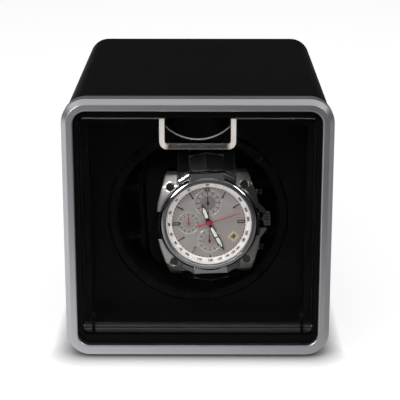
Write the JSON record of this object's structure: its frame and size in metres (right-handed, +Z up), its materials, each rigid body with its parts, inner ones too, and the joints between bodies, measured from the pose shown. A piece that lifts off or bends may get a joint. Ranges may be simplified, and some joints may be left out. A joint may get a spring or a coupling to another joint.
{
  "type": "watch winder box",
  "caption": "Rounded square box with a metal bezel and a clear drop-front door, whose motor-driven drum turns a wrist watch held on a cushion.",
  "frame": {"origin": "bottom centre of the box: the middle of its width and depth, on the surface that its feet stand on", "axes": "+Z up, +Y from the door to the rear cover, +X to the right of someone who faces the door"},
  "size_m": [0.11, 0.145, 0.1108],
  "materials": {
    "housing": "soft-touch satin",
    "bezel": "bead-blasted, anodised, with a bright chamfer",
    "front_frame": "smooth black moulding",
    "feet": "matt",
    "baffle": "flocked black",
    "screws": "zinc plated",
    "cover_screws": "blackened",
    "door": "clear, polished",
    "door_pull": "silver, satin",
    "drum": "black moulding, semi-gloss",
    "shaft": "ground",
    "gears": "natural acetal",
    "cushion": "fine grained black leatherette over foam",
    "chassis": "black moulding",
    "bushings": "sintered bronze",
    "motor_plate": "zinc plated sheet",
    "motor": "zinc plated can",
    "rear_cover": "fine spark-eroded texture",
    "board": "solder resist",
    "board_parts": "moulded packages",
    "switches": "plated shell",
    "knobs": "moulded, satin",
    "inlet": "black moulding",
    "watch_steel": "brushed",
    "watch_polished": "polished",
    "crystal": "clear",
    "dial": "silver sunburst",
    "dial_ring": "white, printed",
    "markers": "polished",
    "movement": "plated",
    "red_hands": "red lacquer",
    "counter_hands": "blued",
    "pins": "ground",
    "leads": "insulated"
  },
  "bodies": {
    "box": {"housing": "housing", "bezel": "bezel", "front_frame": "front_frame", "feet": "feet", "baffle_panel": "baffle", "baffle_screws": "screws", "chassis_plate": "chassis", "chassis_screws": "screws", "front_bushing": "bushings", "rear_bushing": "bushings", "motor_plate": "motor_plate", "motor_plate_screws": "screws", "motor": "motor", "motor_screws": "screws", "rear_cover": "rear_cover", "cover_screws": "cover_screws", "circuit_board": "board", "board_parts": "board_parts", "selector_switches": "switches", "dc_inlet": "inlet", "motor_leads": "leads", "supply_leads": "leads"},
    "door": {"door": "door", "door_pull": "door_pull"},
    "drum": {"drum": "drum", "drive_shaft": "shaft", "drum_gear": "gears", "shaft_clip": "shaft", "holder_frame": "drum", "cushion": "cushion", "watch_case": "watch_steel", "watch_bezel": "watch_polished", "watch_crystal": "crystal", "watch_dial": "dial", "dial_ring": "dial_ring", "dial_markers": "markers", "watch_movement": "movement", "watch_back": "watch_steel", "lug_screws": "watch_steel", "end_links": "watch_steel", "centre_links": "watch_polished", "side_links": "watch_steel", "link_pins": "pins", "watch_clasp": "watch_steel"},
    "motor_rotor": {"motor_shaft": "shaft", "pinion": "gears"},
    "direction_knob": {"direction_knob": "knobs"},
    "turns_knob": {"turns_knob": "knobs"},
    "hour_hand": {"hour_hand": "markers"},
    "minute_hand": {"minute_hand": "markers"},
    "sweep_hand": {"sweep_hand": "red_hands"},
    "small_seconds_hand": {"small_seconds_hand": "red_hands"},
    "minute_counter_hand": {"minute_counter_hand": "counter_hands"},
    "hour_counter_hand": {"hour_counter_hand": "counter_hands"},
    "crown": {"watch_crown": "watch_polished"},
    "start_pusher": {"start_pusher": "watch_polished"},
    "reset_pusher": {"reset_pusher": "watch_polished"}
  },
  "joints": [
    {"name": "door_hinge", "type": "hinge", "parent": "box", "child": "door", "pos_m": [0, -0.06665, 0.01155], "axis": [1, 0, 0], "range_deg": [0, 92]},
    {"name": "drum_spin", "type": "hinge", "parent": "box", "child": "drum", "pos_m": [0, 0.0198, 0.0558], "axis": [0, 1, 0], "continuous": true},
    {"name": "motor_spin", "type": "hinge", "parent": "box", "child": "motor_rotor", "pos_m": [0, 0.0198, 0.0301], "axis": [0, 1, 0], "continuous": true},
    {"name": "direction_knob_turn", "type": "hinge", "parent": "box", "child": "direction_knob", "pos_m": [-0.018, 0.0671, 0.0818], "axis": [0, 1, 0], "range_deg": [-45, 45]},
    {"name": "turns_knob_turn", "type": "hinge", "parent": "box", "child": "turns_knob", "pos_m": [0.018, 0.0671, 0.0818], "axis": [0, 1, 0], "range_deg": [0, 120]},
    {"name": "small_seconds_turn", "type": "hinge", "parent": "drum", "child": "small_seconds_hand", "pos_m": [-0.00386, -0.058, 0.05484], "axis": [0, 1, 0], "continuous": true},
    {"name": "minute_hand_turn", "type": "hinge", "parent": "drum", "child": "minute_hand", "pos_m": [0.00453, -0.058, 0.05519], "axis": [0, 1, 0], "continuous": true},
    {"name": "hour_hand_turn", "type": "hinge", "parent": "drum", "child": "hour_hand", "pos_m": [0.00453, -0.058, 0.05519], "axis": [0, 1, 0], "continuous": true},
    {"name": "sweep_hand_turn", "type": "hinge", "parent": "drum", "child": "sweep_hand", "pos_m": [0.00453, -0.058, 0.05519], "axis": [0, 1, 0], "continuous": true},
    {"name": "minute_counter_turn", "type": "hinge", "parent": "drum", "child": "minute_counter_hand", "pos_m": [0.00417, -0.058, 0.06369], "axis": [0, 1, 0], "continuous": true},
    {"name": "hour_counter_turn", "type": "hinge", "parent": "drum", "child": "hour_counter_hand", "pos_m": [0.00487, -0.058, 0.0471], "axis": [0, 1, 0], "continuous": true},
    {"name": "crown_turn", "type": "hinge", "parent": "drum", "child": "crown", "pos_m": [0.02731, -0.0552, 0.05614], "axis": [0.9991, 0, 0.0419], "continuous": true},
    {"name": "start_pusher_press", "type": "slide", "parent": "drum", "child": "start_pusher", "axis": [-0.9991, 0, -0.0419], "range_m": [0, 0.0008], "stiffness_N_per_m": 1200},
    {"name": "reset_pusher_press", "type": "slide", "parent": "drum", "child": "reset_pusher", "axis": [-0.9991, 0, -0.0419], "range_m": [0, 0.0008], "stiffness_N_per_m": 1200}
  ],
  "couplings": [
    {"joint": "motor_spin", "follows": "drum_spin", "ratio": -3},
    {"joint": "minute_hand_turn", "follows": "small_seconds_turn", "ratio": 0.016667},
    {"joint": "hour_hand_turn", "follows": "small_seconds_turn", "ratio": 0.0013889},
    {"joint": "minute_counter_turn", "follows": "sweep_hand_turn", "ratio": 0.033333},
    {"joint": "hour_counter_turn", "follows": "sweep_hand_turn", "ratio": 0.0013889}
  ]
}
